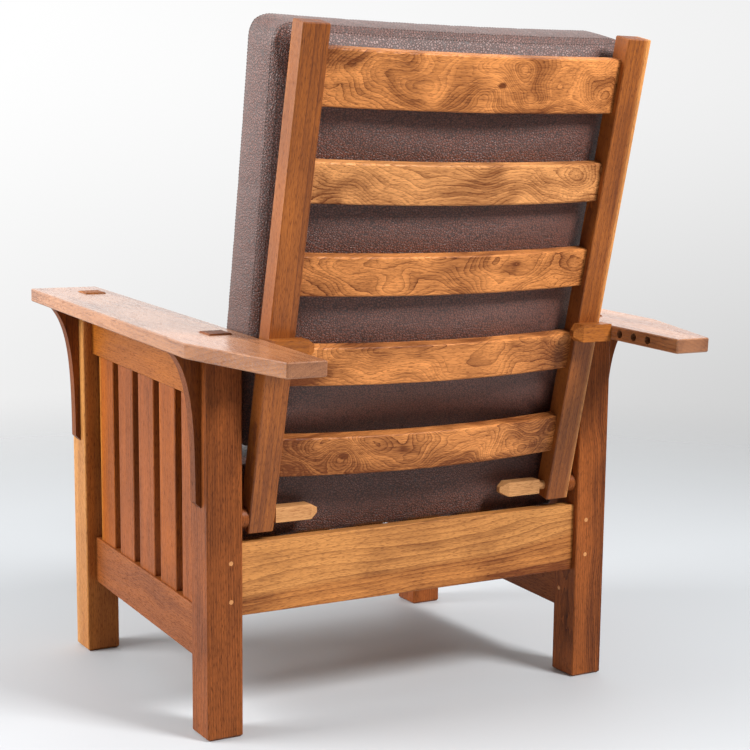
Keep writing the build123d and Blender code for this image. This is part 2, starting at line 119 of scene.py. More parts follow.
def walnut_figure():
    """Growth rings round a heart that lies along X, with streaks, sapwood, pores and end grain."""
    group, given, result = new_group(
        "walnut_figure",
        [("Vector", "Vector", None), ("Normal", "Vector", None), ("Ring Width", "Float", 0.004),
         ("Taper", "Float", 0.02), ("Waviness", "Float", 0.01), ("Swirl", "Float", 0.0),
         ("Sapwood From", "Float", 1.0), ("Figure", "Float", 0.5), ("Patches", "Float", 0.2),
         ("Knot", "Vector", (9.0, 9.0, 9.0)), ("Light", "Color", None),
         ("Dark", "Color", None), ("Sapwood", "Color", None)],
        [("Color", "Color"), ("Roughness", "Float"), ("Height", "Float")])
    wave = cloudy(group, given["Vector"], (2.0, 9.0, 9.0), 2.0).outputs["Color"]
    wave = spread(group, "SUBTRACT", wave, (0.5, 0.5, 0.5))
    swirl = cloudy(group, given["Vector"], (10.0, 12.0, 12.0), 1.0).outputs["Color"]
    swirl = spread(group, "SUBTRACT", swirl, (0.5, 0.5, 0.5))
    ripple = cloudy(group, given["Vector"], (35.0, 160.0, 160.0), 2.0).outputs["Color"]
    ripple = spread(group, "SUBTRACT", ripple, (0.5, 0.5, 0.5))
    place = given["Vector"]
    for bend, size in ((wave, given["Waviness"]), (swirl, given["Swirl"]), (ripple, 0.0022)):
        scaled = node(group, "VectorMath", {0: bend, "Scale": size}, operation="SCALE").outputs[0]
        place = spread(group, "ADD", place, scaled)
    parts = node(group, "SeparateXYZ", {0: place}).outputs
    across = sums(group, "MULTIPLY", parts[1], parts[1])
    radius = sums(group, "SQRT", sums(group, "MULTIPLY_ADD", parts[2], parts[2], across))
    radius = sums(group, "MULTIPLY_ADD", parts[0], given["Taper"], radius)
    off_knot = spread(group, "SUBTRACT", given["Vector"], given["Knot"])
    off_knot = spread(group, "MULTIPLY", off_knot, (0.6, 0, 1))
    off_knot = node(group, "VectorMath", {0: off_knot}, operation="LENGTH").outputs[1]
    around_knot = ranged(group, off_knot, 0.0, 0.035, 1.0, 0.0)
    radius = sums(group, "MULTIPLY_ADD", around_knot, 0.02, radius)
    knot = ranged(group, off_knot, 0.001, 0.006, 1.0, 0.0)
    ring = sums(group, "DIVIDE", radius, given["Ring Width"])
    late = sums(group, "POWER", sums(group, "FRACT", ring), 2.6)
    whole = sums(group, "FLOOR", ring)
    year = node(group, "TexWhiteNoise", {"W": whole}, noise_dimensions="1D").outputs[0]
    broad = cloudy(group, place, (1.4, 30.0, 30.0), 4.0).outputs[0]
    broad = ranged(group, broad, 0.3, 0.7)
    fine = cloudy(group, given["Vector"], (14.0, 520.0, 520.0), 3.0).outputs[0]
    fine = ranged(group, fine, 0.3, 0.72)
    line = sums(group, "MULTIPLY", sums(group, "POWER", sums(group, "FRACT", ring), 10.0), broad)
    tone = sums(group, "MULTIPLY_ADD", line, 0.75, sums(group, "MULTIPLY", late, 0.35))
    tone = sums(group, "MULTIPLY_ADD", year, 0.3, tone)
    tone = sums(group, "MULTIPLY", tone, given["Figure"])
    patch = cloudy(group, place, (7.0, 17.0, 17.0), 2.0).outputs[0]
    tone = sums(group, "MULTIPLY_ADD", ranged(group, patch, 0.36, 0.64), given["Patches"], tone)
    tone = sums(group, "MULTIPLY_ADD", broad, 0.3, tone)
    tone = sums(group, "MULTIPLY_ADD", fine, 0.22, tone)
    tone = sums(group, "ADD", tone, knot)
    pores = cloudy(group, given["Vector"], (110.0, 1300.0, 1300.0), 1.0).outputs[0]
    pores = ranged(group, pores, 0.52, 0.68)
    ends = node(group, "SeparateXYZ", {0: given["Normal"]}).outputs[0]
    ends = ranged(group, sums(group, "ABSOLUTE", ends), 0.6, 0.9)
    color = blended(group, tone, given["Light"], given["Dark"])
    pale = ranged(group, radius, given["Sapwood From"],
                  sums(group, "ADD", given["Sapwood From"], 0.012))
    clean = sums(group, "SUBTRACT", 1.0, sums(group, "MULTIPLY", tone, 0.55))
    pale = sums(group, "MULTIPLY", pale, clean)
    color = blended(group, pale, color, given["Sapwood"])
    color = blended(group, sums(group, "MULTIPLY", pores, 0.55), color, given["Dark"], "MULTIPLY")
    color = blended(group, sums(group, "MULTIPLY", ends, 0.3), color, given["Dark"], "MULTIPLY")
    rough = sums(group, "MULTIPLY_ADD", pores, 0.16, 0.36)
    rough = sums(group, "MULTIPLY_ADD", ends, 0.15, rough)
    rough = sums(group, "MULTIPLY_ADD", fine, 0.06, rough)
    height = sums(group, "MULTIPLY_ADD", pores, -1.0, sums(group, "MULTIPLY", late, -0.25))
    for label, value in (("Color", color), ("Roughness", rough), ("Height", height)):
        group.links.new(value, result[label])
    return group


WALNUT = walnut_figure()
ALONG = {"up": (0, -90, 0), "back": (0, 0, 90), "across": (0, 0, 0)}
ORANGE = (0.72, 0.29, 0.072, 1)
AMBER = (0.52, 0.17, 0.030, 1)
RED_BROWN = (0.42, 0.115, 0.024, 1)
RED_ORANGE = (0.49, 0.125, 0.012, 1)
GOLD = (0.94, 0.365, 0.105, 1)
AMBER_GOLD = (0.66, 0.26, 0.068, 1)
UMBER = (0.17, 0.046, 0.012, 1)
CHOCOLATE = (0.085, 0.022, 0.007, 1)
HONEY = (0.88, 0.46, 0.15, 1)


def colour(name):
    """A new material, its tree and its shader."""
    material = bpy.data.materials.new(name)
    material.use_nodes = True
    tree = material.node_tree
    return material, tree, tree.nodes["Principled BSDF"]


def walnut(name, middle, grain, heart=(0.0, 0.05, 0.1), ring=0.0038, taper=0.012,
           waviness=0.012, swirl=0.0, sapwood_from=1.0, figure=0.6, patches=0.2,
           knot=(9.0, 0, 0), light=ORANGE, dark=UMBER, sapwood=HONEY, polish=0.15, rub=0.0):
    """Oiled walnut for a board, its grain along the given turn, its heart beside the middle.

    Sapwood starts at a distance from the heart; polish is how strongly the surface mirrors, and
    rub how much smoother than plain oil it is.
    """
    material, tree, shader = colour("walnut_" + name)
    turn = Vector([math.radians(angle) for angle in grain])
    board = (Matrix.Rotation(turn.z, 3, "Z") @ Matrix.Rotation(turn.y, 3, "Y")
             @ Matrix.Rotation(turn.x, 3, "X"))
    origin = Vector(middle) + board @ Vector(heart)
    where = node(tree, "TexCoord").outputs
    laid = {"Vector": where["Object"], "Location": origin, "Rotation": turn}
    vector = node(tree, "Mapping", laid, vector_type="TEXTURE").outputs[0]
    facing = node(tree, "Mapping", {"Vector": where["Normal"], "Rotation": turn},
                  vector_type="TEXTURE").outputs[0]
    figured = node(tree, "Group", node_tree=WALNUT)
    settings = {"Ring Width": ring, "Taper": taper, "Waviness": waviness, "Swirl": swirl,
                "Sapwood From": sapwood_from, "Figure": figure, "Patches": patches,
                "Knot": Vector(knot) - Vector(heart), "Light": light, "Dark": dark,
                "Sapwood": sapwood}
    for label, value in settings.items():
        figured.inputs[label].default_value = value
    tree.links.new(vector, figured.inputs["Vector"])
    tree.links.new(facing, figured.inputs["Normal"])
    bump = node(tree, "Bump", {"Height": figured.outputs["Height"], "Distance": 0.0002,
                               "Strength": 0.5})
    tree.links.new(figured.outputs["Color"], shader.inputs["Base Color"])
    rough = sums(tree, "SUBTRACT", figured.outputs["Roughness"], rub)
    tree.links.new(rough, shader.inputs["Roughness"])
    tree.links.new(bump.outputs[0], shader.inputs["Normal"])
    shader.inputs["Specular IOR Level"].default_value = polish
    return material


def middle_of(name):
    """The middle of a CAD node's box."""
    low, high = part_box(name)
    return (low + high) / 2


def finish_node(name, material):
    """Gives a CAD node its material."""
    for slot in nodes[name].material_slots:
        slot.material = material


LEG_SAPWOOD = (0.66, 0.31, 0.09, 1)
LEG_SAPWOOD_DULL = (0.62, 0.27, 0.075, 1)
LEG_LOOKS = {
    "leg_front_left": dict(heart=(0.3, 0.012, 0.075), sapwood_from=0.09, figure=0.4, light=AMBER,
                           sapwood=LEG_SAPWOOD),
    "leg_rear_left": dict(heart=(0.9, 0.05, -0.12), figure=0.45, light=RED_BROWN, dark=CHOCOLATE),
    "leg_front_right": dict(heart=(1.7, -0.05, -0.11), figure=0.5, light=RED_BROWN),
    "leg_rear_right": dict(heart=(2.4, 0.01, -0.075), figure=0.7, light=RED_BROWN, dark=CHOCOLATE,
                           waviness=0.025, swirl=0.02, taper=0.03, sapwood_from=0.095,
                           sapwood=LEG_SAPWOOD_DULL),
}
for name, look in LEG_LOOKS.items():
    finish_node(name, walnut(name, middle_of(name), ALONG["up"], **look))

# Side frames. An upper and a lower rail between the legs, and five slats housed in them, all of
# walnut: the rails orange, the slats redder, some with a pale streak.
SIDE_FALL = 2.5
SIDEWAYS = (0, SIDE_FALL, 90)
RAIL_ORANGE = (0.48, 0.145, 0.014, 1)
RAIL_BROWN = (0.36, 0.105, 0.022, 1)
RAIL_DARK = (0.20, 0.055, 0.010, 1)
SIDE_SLAT_SAPWOOD = (0.76, 0.30, 0.05, 1)
SIDE_SLAT_LIGHTS = (RED_ORANGE, RED_BROWN, RED_BROWN, RED_ORANGE, RED_BROWN)
SIDE_SLAT_HEARTS = (0.045, 0.04, 0.0, -0.045, 0.015)
for side, turn in (("left", 1), ("right", -1)):
    name = f"side_upper_rail_{side}"
    look = dict(heart=(0.4, 0.03 * turn, 0.16), figure=0.4, taper=0.02, light=RAIL_ORANGE,
                dark=RAIL_DARK)
    finish_node(name, walnut(name, middle_of(name), SIDEWAYS, **look))
    name = f"side_lower_rail_{side}"
    look = dict(heart=(1.4, -0.02 * turn, 0.07), figure=0.6, taper=0.08, swirl=0.04,
                light=RAIL_BROWN, dark=UMBER)
    finish_node(name, walnut(name, middle_of(name), SIDEWAYS, **look))
    for number, (light, off) in enumerate(zip(SIDE_SLAT_LIGHTS, SIDE_SLAT_HEARTS), 1):
        name = f"side_slat_{side}_{number}"
        look = dict(heart=(number * 0.7, off, 0.04), figure=0.6, light=light,
                    sapwood_from=0.071, sapwood=SIDE_SLAT_SAPWOOD)
        finish_node(name, walnut(name, middle_of(name), ALONG["up"], **look))

# Corbels. Long curved brackets of dark red-brown walnut sawn from board, glued to the outer
# face of each leg.
CORBEL_BROWN = (0.29, 0.075, 0.010, 1)
for end, along in (("front", 1.1), ("rear", 2.2)):
    for side in ("left", "right"):
        name = f"corbel_{end}_{side}"
        look = dict(heart=(along, 0.09, 0.03), figure=0.55, light=CORBEL_BROWN, dark=CHOCOLATE)
        finish_node(name, walnut(name, middle_of(name), ALONG["up"], **look))

# Arms. Flat boards of quieter, pinkish walnut laid on the legs, mortised for their tenons and
# eased on all edges, with a row of holes for the support pins bored in each inner edge.
PINK_BROWN = (0.60, 0.27, 0.12, 1)
for side, turn in (("left", 1), ("right", -1)):
    name = f"arm_{side}"
    look = dict(heart=(0.5 * turn, 0.07 * turn, -0.09), figure=0.4, light=PINK_BROWN, dark=UMBER,
                taper=0.03, ring=0.005, polish=0.65, rub=0.14)
    finish_node(name, walnut(name, middle_of(name), SIDEWAYS, **look))

# Seat rails. Two walnut boards tenoned between the legs. The rear one, which shows, is pale along
# its top edge, with brown arches below.
RAIL_SAPWOOD = (0.66, 0.29, 0.085, 1)
SEAT_RAIL_LOOKS = {
    "rear_rail": dict(heart=(-0.6, 0.035, -0.085), figure=0.8, taper=0.06, ring=0.0075,
                      waviness=0.06, sapwood_from=0.11, patches=0.5, light=AMBER_GOLD,
                      sapwood=RAIL_SAPWOOD),
    "front_rail": dict(heart=(0.5, 0.035, 0.08), figure=0.7, taper=0.03),
}
for name, look in SEAT_RAIL_LOOKS.items():
    finish_node(name, walnut(name, middle_of(name), ALONG["across"], **look))

# Deck. Two cleats screwed inside the rails and six slats across them, of plainer wood, hidden
# by the seat cushion. Steel countersunk screws.
DECK_SLATS = 6
STEEL_DARK = (0.42, 0.42, 0.43, 1)
STEEL_LIGHT = (0.62, 0.62, 0.63, 1)
for name in ("seat_cleat_front", "seat_cleat_rear"):
    look = dict(light=HONEY, dark=RED_BROWN, figure=0.3)
    finish_node(name, walnut(name, middle_of(name), ALONG["across"], **look))
for number in range(1, DECK_SLATS + 1):
    name = f"deck_slat_{number}"
    look = dict(heart=(number * 0.9, 0.02 * number, 0.1), light=HONEY, dark=RED_BROWN, figure=0.35)
    finish_node(name, walnut(name, middle_of(name), SIDEWAYS, **look))

steel, tree, shader = colour("screw_steel")
brushed = cloudy(tree, node(tree, "TexCoord").outputs["Object"], (900.0, 900.0, 900.0)).outputs[0]
color = blended(tree, brushed, STEEL_DARK, STEEL_LIGHT)
tree.links.new(color, shader.inputs["Base Color"])
tree.links.new(ranged(tree, brushed, 0.3, 0.7, 0.25, 0.42), shader.inputs["Roughness"])
shader.inputs["Metallic"].default_value = 1.0
for name in ("deck_screws", "cleat_screws"):
    finish_node(name, steel)

# Tenon pins. Pale round dowels, driven through the tenons of the seat rails and pared flush with
# the legs.
TAN = (0.62, 0.32, 0.13, 1)
TAN_DARK = (0.42, 0.19, 0.07, 1)
PALE = (0.76, 0.38, 0.15, 1)
look = dict(ring=0.0016, figure=0.25, light=PALE, dark=TAN)
finish_node("tenon_pins", walnut("tenon_pins", (0, 0, 0), ALONG["back"], **look))

# Back frame. Two straight red-brown stiles and five slats bowed to the rear, tenoned into them.
# The slats are the chair's show wood, with swirling figure round small knots and bands of sapwood.
LIFT_AXIS = joints["back_cushion_lift"]["axis"]
RECLINE = math.degrees(math.atan2(LIFT_AXIS[1], LIFT_AXIS[2]))
UP_THE_BACK = (0, RECLINE - 90, 90)
STILE_BROWN = (0.45, 0.135, 0.022, 1)
STILE_SAPWOOD = (0.90, 0.40, 0.12, 1)
for side, turn in (("left", 1), ("right", -1)):
    name = f"back_stile_{side}"
    look = dict(heart=(0.8 * turn, 0.14 * turn, 0.0), figure=0.6, ring=0.007, waviness=0.005,
                patches=0.3, taper=0.006, light=STILE_BROWN, sapwood_from=0.155,
                sapwood=STILE_SAPWOOD, polish=0.3)
    finish_node(name, walnut(name, middle_of(name), UP_THE_BACK, **look))
PALE_GOLD = (0.98, 0.44, 0.15, 1)
CREAM = (0.98, 0.52, 0.20, 1)
SLAT_LOOKS = (
    dict(heart=(0.2, 0.06, 0.01), swirl=0.10, waviness=0.06, ring=0.0030, taper=0.05, figure=0.62,
         patches=0.5, knot=(-0.03, 0, 0.0), light=GOLD),
    dict(heart=(1.3, 0.05, 0.045), swirl=0.08, waviness=0.08, ring=0.0050, taper=0.10, figure=0.6,
         patches=0.35, sapwood_from=0.062, sapwood=CREAM, light=PALE_GOLD),
    dict(heart=(2.1, 0.06, 0.02), swirl=0.07, waviness=0.06, ring=0.0036, taper=0.06, figure=0.65,
         patches=0.4, light=GOLD),
    dict(heart=(3.3, 0.05, 0.03), swirl=0.08, waviness=0.08, ring=0.0045, taper=0.07, figure=0.6,
         patches=0.45, sapwood_from=0.085, light=GOLD),
    dict(heart=(4.4, 0.055, 0.01), swirl=0.10, waviness=0.05, ring=0.0028, taper=0.07, figure=0.7,
         patches=0.5, knot=(0.14, 0, 0.0), light=GOLD),
)
for number, look in enumerate(SLAT_LOOKS, 1):
    name = f"back_slat_{number}"
    finish_node(name, walnut(name, middle_of(name), (-RECLINE, 0, 0), **look))

# Pegs, spacers and pins. The back turns on two pale, plain pegs pushed through stile and spacer
# into the legs, and leans on two support pins plugged into the arms. Spacers and pins are walnut.
for side, turn in (("left", 1), ("right", -1)):
    name = f"pivot_peg_{side}"
    look = dict(heart=(0.3 * turn, 0.02, 0.05), ring=0.003, figure=0.35, light=PALE, dark=TAN_DARK)
    finish_node(name, walnut(name, middle_of(name), ALONG["across"], **look))
    name = f"spacer_{side}"
    look = dict(figure=0.4, dark=CHOCOLATE, light=RED_BROWN)
    finish_node(name, walnut(name, middle_of(name), ALONG["up"], **look))
    name = f"support_pin_{side}"
    look = dict(heart=(0.6 * turn, 0.03, 0.06), figure=0.5, light=AMBER)
    finish_node(name, walnut(name, middle_of(name), ALONG["across"], **look))


# Cushions. Boxed leather covers over foam: two panels and a boxing strip between them, the seams
# opened and stitched down on both sides. Each cover is shaped as sewn, then filled in simulation.
CELL = 0.0095
STITCH_ROW = 0.005
ENDS_IN = 0.004
EDGE_BLEND = 0.022
SEAM_DEPTH = 0.0020
SIDE_PUFF = 0.003
CLEARANCE = 0.0006
WELD = 0.0005
FILL_FRAMES = 20


def row_places(length):
    """Grid lines from -1 to 1, the outer rows as wide as the stitching's distance from the seam."""
    edge = STITCH_ROW / (length / 2)
    count = round((length - 2 * STITCH_ROW) / CELL)
    inner = [-1 + edge + (2 - 2 * edge) * step / count for step in range(count + 1)]
    return [-1.0] + inner + [1.0]


def panel_point(u, v, cover):
    """Where a panel's grid point lies on the flat outline, and how far in from its edge."""
    half_width = cover["low_half"] + (cover["high_half"] - cover["low_half"]) * (v + 1) / 2
    half_length = cover["length"] / 2
    x, y = u * half_width, v * half_length
    corner = cover["corner"] if v > 0 else cover["low_corner"]
    inner_x, inner_y = half_width - corner, half_length - corner
    past_side = math.exp((abs(x) - half_width) / EDGE_BLEND)
    past_end = math.exp((abs(y) - half_length) / EDGE_BLEND)
    inset = -EDGE_BLEND * math.log(past_side + past_end)
    if abs(x) > inner_x and abs(y) > inner_y:
        a, b = (abs(x) - inner_x) / corner, (abs(y) - inner_y) / corner
        x = math.copysign(inner_x + corner * a * math.sqrt(1 - b * b / 2), x)
        y = math.copysign(inner_y + corner * b * math.sqrt(1 - a * a / 2), y)
    x -= math.copysign(cover["sides_in"] * abs(u) * (1 - v * v), u)
    y -= math.copysign(ENDS_IN * abs(v) * (1 - u * u), v)
    return x, y, max(0.0, inset)


def crowned(inset, crown, spread):
    """Height of a panel above its seam, a part of an ellipse."""
    share = min(1.0, inset / spread)
    return crown * math.sqrt(1 - (1 - share) ** 2)


def sewn_cover(cover):
    """The empty cover, lying flat, as a closed bmesh with its seam rows marked."""
    bm = bmesh.new()
    seam = bm.verts.layers.int.new("seam_row")
    columns, rows = row_places(2 * cover["high_half"]), row_places(cover["length"])
    bmesh.ops.create_grid(bm, x_segments=len(columns) - 1, y_segments=len(rows) - 1, size=1)
    bm.verts.ensure_lookup_table()
    for vert in bm.verts:
        column = round((vert.co.x + 1) / 2 * (len(columns) - 1))
        row = round((vert.co.y + 1) / 2 * (len(rows) - 1))
        edge = min(column, row, len(columns) - 1 - column, len(rows) - 1 - row)
        x, y, inset = panel_point(columns[column], rows[row], cover)
        vert.co = (x, y, cover["boxing"] + crowned(inset, cover["crown"], cover["spread"]))
        vert[seam] = {0: 1, 1: 2}.get(edge, 0)
    front = bm.faces[:]
    rear = bmesh.ops.duplicate(bm, geom=bm.verts[:] + bm.edges[:] + front)["geom"]
    for vert in (item for item in rear if isinstance(item, bmesh.types.BMVert)):
        share = min(1.0, max(0.0, (vert.co.z - cover["boxing"]) / cover["crown"]))
        inset = cover["spread"] * (1 - math.sqrt(1 - share ** 2))
        vert.co.z = -crowned(inset, cover["rear_crown"], cover["rear_spread"])
        vert[seam] = {1: 5, 2: 6}.get(vert[seam], 0)
    faces = [item for item in rear if isinstance(item, bmesh.types.BMFace)]
    bmesh.ops.reverse_faces(bm, faces=faces)
    ring = [edge for edge in bm.edges
            if edge.is_boundary and all(vert[seam] == 1 for vert in edge.verts)]
    count = round((cover["boxing"] - 2 * STITCH_ROW) / CELL)
    steps = [STITCH_ROW] + [(cover["boxing"] - 2 * STITCH_ROW) / count] * count + [STITCH_ROW]
    for number, drop in enumerate(steps):
        made = bmesh.ops.extrude_edge_only(bm, edges=ring)["geom"]
        ring = [item for item in made if isinstance(item, bmesh.types.BMEdge)]
        for vert in (item for item in made if isinstance(item, bmesh.types.BMVert)):
            vert.co.z -= drop
            vert[seam] = {0: 3, len(steps) - 2: 4, len(steps) - 1: 5}.get(number, 0)
    bmesh.ops.remove_doubles(bm, verts=bm.verts[:], dist=WELD)
    bmesh.ops.recalc_face_normals(bm, faces=bm.faces[:])
    return bm


def piece_of(bm, name):
    """A finished mesh as an object at the origin."""
    mesh = bpy.data.meshes.new(name)
    bm.to_mesh(mesh)
    bm.free()
    mesh.shade_smooth()
    made = bpy.data.objects.new(name, mesh)
    bpy.context.scene.collection.objects.link(made)
    return made


def fill(made, cap):
    """Cloth filled by pressure with its seams held, no point moving further than cap."""
    before = [vert.co.copy() for vert in made.data.vertices]
    rows = made.data.attributes["seam_row"].data
    held = made.vertex_groups.new(name="seam")
    seams = [vert.index for vert in made.data.vertices if rows[vert.index].value in (1, 5)]
    held.add(seams, 1.0, "REPLACE")
    cloth = made.modifiers.new("fill", "CLOTH")
    cloth.settings.use_pressure = True
    cloth.settings.uniform_pressure_force = 4.0
    cloth.settings.vertex_group_mass = "seam"
    cloth.settings.effector_weights.gravity = 0.0
    cloth.settings.shrink_min = -0.002
    cloth.settings.bending_stiffness = 2.0
    for step in range(1, FILL_FRAMES + 1):
        bpy.context.scene.frame_set(step)
    filled = made.evaluated_get(bpy.context.evaluated_depsgraph_get()).to_mesh()
    after = [vert.co.copy() for vert in filled.vertices]
    made.modifiers.clear()
    made.vertex_groups.clear()
    bpy.context.scene.frame_set(1)
    for vert, start, end in zip(made.data.vertices, before, after):
        move = end - start
        vert.co = start + move * min(1.0, cap / max(move.length, 1e-9))


def seam_loops(mesh, row):
    """The points of one marked row, in order round the cushion."""
    rows = mesh.attributes["seam_row"].data
    beside = {}
    for edge in mesh.edges:
        if all(rows[index].value == row for index in edge.vertices):
            first, second = edge.vertices
            beside.setdefault(first, []).append(second)
            beside.setdefault(second, []).append(first)
    start = min(beside)
    order = [start]
    while len(order) < len(beside):
        following = [index for index in beside[order[-1]] if index not in order[-2:]]
        order.append(following[0])
    return [mesh.vertices[index].co.copy() for index in order]


def stitches(name, loops, surface):
    """Thread showing along each row: one small grain a stitch, half sunk in the leather."""
    pitch, length, thickness = 0.0046, 0.0034, 0.0011
    grain = bmesh.new()
    bmesh.ops.create_icosphere(grain, subdivisions=1, radius=1)
    corners = [vert.co.copy() for vert in grain.verts]
    faces = [[vert.index for vert in face.verts] for face in grain.faces]
    grain.free()
    size = Matrix.Diagonal((length / 2, thickness / 2, thickness / 2, 1))
    places = []
    for loop in loops:
        carried = 0.0
        for start, end in zip(loop, loop[1:] + loop[:1]):
            along = end - start
            while carried < along.length:
                spot, normal = surface.find_nearest(start + along * (carried / along.length))[:2]
                forward = along.normalized()
                sideways = normal.cross(forward).normalized()
                turn = Matrix((forward, sideways, forward.cross(sideways))).transposed().to_4x4()
                places.append(Matrix.Translation(spot + normal * thickness * 0.1) @ turn @ size)
                carried += pitch
            carried -= along.length
    mesh = bpy.data.meshes.new(name)
    mesh.from_pydata([place @ corner for place in places for corner in corners], [],
                     [[index + number * len(corners) for index in face]
                      for number in range(len(places)) for face in faces])
    made = bpy.data.objects.new(name, mesh)
    mesh.shade_smooth()
    bpy.context.scene.collection.objects.link(made)
    return made


def cushion(body, cover, place, rest_on):
    """A filled, stitched cushion in its place on its body, resting on what carries it."""
    made = piece_of(sewn_cover(cover), body + "_cover")
    fill(made, cover["fill_cap"])
    for vert in made.data.vertices:
        vert.co.z = max(vert.co.z, rest_on(vert.co))
        share = vert.co.y / cover["length"] + 0.5
        widest = cover["low_half"] + (cover["high_half"] - cover["low_half"]) * share + SIDE_PUFF
        vert.co.x = max(-widest, min(widest, vert.co.x))
    made.data.update()
    loops = [seam_loops(made.data, row) for row in (2, 3, 4, 6)]
    bm = bmesh.new()
    bm.from_mesh(made.data)
    layers = bm.edges.layers.float
    folded = layers.get("crease_edge") or layers.new("crease_edge")
    seam = bm.verts.layers.int["seam_row"]
    creases = [edge for edge in bm.edges if {vert[seam] for vert in edge.verts} in ({1}, {5})]
    for vert in {vert for edge in creases for vert in edge.verts}:
        vert.co -= vert.normal * SEAM_DEPTH
    for edge in creases:
        edge[folded] = 1.0
    bm.to_mesh(made.data)
    bm.free()
    made.modifiers.new("smooth", "SUBSURF").levels = 1
    made.modifiers["smooth"].render_levels = 1
    smoothed = made.evaluated_get(bpy.context.evaluated_depsgraph_get())
    smooth = bpy.data.meshes.new_from_object(smoothed)
    made.modifiers.clear()
    made.data = smooth
    bm = bmesh.new()
    bm.from_mesh(smooth)
    thread = stitches(body + "_stitching", loops, BVHTree.FromBMesh(bm))
    bm.free()
    for piece, material in ((made, LEATHER), (thread, THREAD)):
        piece.data.transform(place)
        piece.data.materials.append(material)
        piece.data.update()
        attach(piece, body)
    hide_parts(body)


HIDE_DARK = (0.155, 0.052, 0.034, 1)
HIDE_LIGHT = (0.190, 0.064, 0.041, 1)
# Near-black brown painted into the creases of the leather's grain as shade.
CREASE_SHADE_PAINTED = (0.024, 0.012, 0.010, 1)
THREAD_DARK = (0.03, 0.018, 0.014, 1)
THREAD_LIGHT = (0.10, 0.06, 0.048, 1)


def leather():
    """Dark brown cowhide: pebbled grain with fine creases darkened by painted shade, a dull wax
    sheen, faint patches.
    """
    material, tree, shader = colour("leather")
    where = node(tree, "TexCoord").outputs["Object"]
    bent = cloudy(tree, where, (260.0, 260.0, 260.0), 2.0).outputs["Color"]
    bent = node(tree, "VectorMath", {0: bent, "Scale": 0.0012}, operation="SCALE").outputs[0]
    bent = spread(tree, "ADD", where, bent)
    pebble = node(tree, "TexVoronoi", {"Vector": bent, "Scale": 480.0}, feature="SMOOTH_F1")
    pebble.inputs["Smoothness"].default_value = 0.35
    coarse = node(tree, "TexVoronoi", {"Vector": bent, "Scale": 265.0},
                  feature="DISTANCE_TO_EDGE").outputs[0]
    coarse = ranged(tree, coarse, 0.0, 0.22)
    grain = sums(tree, "MULTIPLY_ADD", ranged(tree, pebble.outputs[0], 0.1, 0.75), -0.6, coarse)
    patches = ranged(tree, cloudy(tree, where, (7.0, 7.0, 7.0), 4.0).outputs[0], 0.35, 0.68)
    base = blended(tree, patches, HIDE_DARK, HIDE_LIGHT)
    # Painted shade: near the edges of the coarse pebbles, in the creases, the colour goes most of
    # the way to a near-black brown.
    painted_crease_shade = sums(tree, "MULTIPLY", sums(tree, "SUBTRACT", 1.0, coarse), 0.85)
    tree.links.new(blended(tree, painted_crease_shade, base, CREASE_SHADE_PAINTED), shader.inputs["Base Color"])
    tree.links.new(ranged(tree, grain, -0.4, 1.0, 0.58, 0.44), shader.inputs["Roughness"])
    shader.inputs["Specular IOR Level"].default_value = 0.7
    bump = node(tree, "Bump", {"Height": grain, "Distance": 0.0008, "Strength": 0.8})
    tree.links.new(bump.outputs[0], shader.inputs["Normal"])
    shader.inputs["Coat Weight"].default_value = 0.25
    shader.inputs["Coat Roughness"].default_value = 0.45
    return material


def waxed_thread():
    """Brown polyester thread, a little lighter than the leather."""
    material, tree, shader = colour("thread")
    where = node(tree, "TexCoord").outputs["Object"]
    twist = cloudy(tree, where, (1500.0, 1500.0, 1500.0)).outputs[0]
    color = blended(tree, twist, THREAD_DARK, THREAD_LIGHT)
    tree.links.new(color, shader.inputs["Base Color"])
    shader.inputs["Roughness"].default_value = 0.6
    return material


LEATHER = leather()
THREAD = waxed_thread()

# Seat cushion. It lies loose on the deck between the side frames and slides out to the front. Its
# underside is flat where it rests, the top crowned.
SEAT = dict(low_half=0.283, high_half=0.283, length=0.509, boxing=0.112, sides_in=0.004,
            corner=0.014, low_corner=0.014, crown=0.017, spread=0.16, rear_crown=0.008,
            rear_spread=0.02, fill_cap=0.014)
SEAT_REAR = Vector((0, 0.13425, 0.2662))
SEAT_LIFT = 0.0086
SEAT_GAP = 0.003
forward = Vector(joints["seat_cushion_slide"]["axis"]).normalized()
upward = Vector((0, forward.z, -forward.y))
place = Matrix((Vector((1, 0, 0)), -forward, upward)).transposed().to_4x4()
place.translation = (SEAT_REAR + forward * (SEAT["length"] / 2 + SEAT_GAP)
                     + upward * SEAT_LIFT)
cushion("seat_cushion", SEAT, place, lambda spot: CLEARANCE - SEAT_LIFT)

# Back cushion. It leans loose on the back slats, takes their bow on its rear face, and swells a
# little between them. Its foot is clear of the seat cushion, so that the back can swing forward.
BACK = dict(low_half=0.2750, high_half=0.2890, length=0.596, boxing=0.080, sides_in=-0.002,
            corner=0.028, low_corner=0.014, crown=0.019, spread=0.17, rear_crown=0.034,
            rear_spread=0.17, fill_cap=0.015)
STILE_INNER = 0.2387
SLAT_BOW = 0.019
SLAT_FRONT = 0.032
REAR_SEAM = 0.060
PIVOT_UP = 0.020
PIVOT_IN = 0.016
BACK_BOTTOM = 0.1075
HALF_SLAT = 0.034
SLAT_SWELL = 0.005
SWELL_RISE = 0.028
up = Vector(joints["back_cushion_lift"]["axis"]).normalized()
toward_sitter = Vector((0, -up.z, up.y))
foot = Vector(joints["back_recline"]["pos_m"]) - up * PIVOT_UP - toward_sitter * PIVOT_IN
slat_middles = [(middle_of(f"back_slat_{number}") - foot).dot(up) for number in range(1, 6)]


